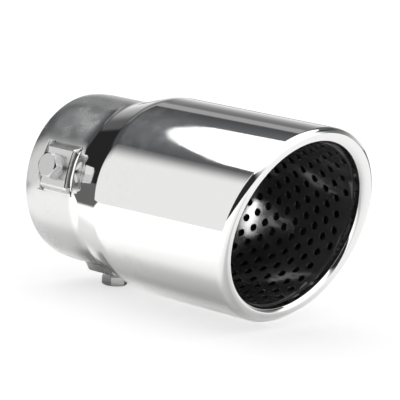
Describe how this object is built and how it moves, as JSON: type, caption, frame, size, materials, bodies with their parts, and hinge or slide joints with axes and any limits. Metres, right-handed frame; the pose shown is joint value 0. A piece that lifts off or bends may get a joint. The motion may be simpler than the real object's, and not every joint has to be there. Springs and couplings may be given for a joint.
{
  "type": "exhaust tip",
  "caption": "Bolt-on exhaust tip: a plain neck flares to a polished body with a slash-cut rolled lip over a dark perforated inner tube.",
  "frame": {"origin": "centre of the inlet mouth, on the axis of the neck", "axes": "+X along the tip's axis from the inlet to the outlet, +Z towards the long side of the slash cut"},
  "size_m": [0.1355, 0.087, 0.0851],
  "materials": {
    "polished_steel": "mirror-polished stainless steel sheet, slightly satin on the neck",
    "black_steel": "glossy black heat-proof coating",
    "bolt_steel": "plain satin stainless steel",
    "spring_steel": "satin spring steel",
    "plain_steel": "plain steel plate"
  },
  "bodies": {
    "root": {"outer_shell": "polished_steel", "perforated_liner": "black_steel", "clamp_bolts": "bolt_steel", "lock_washers": "spring_steel", "plate_nuts": "plain_steel"}
  },
  "joints": []
}
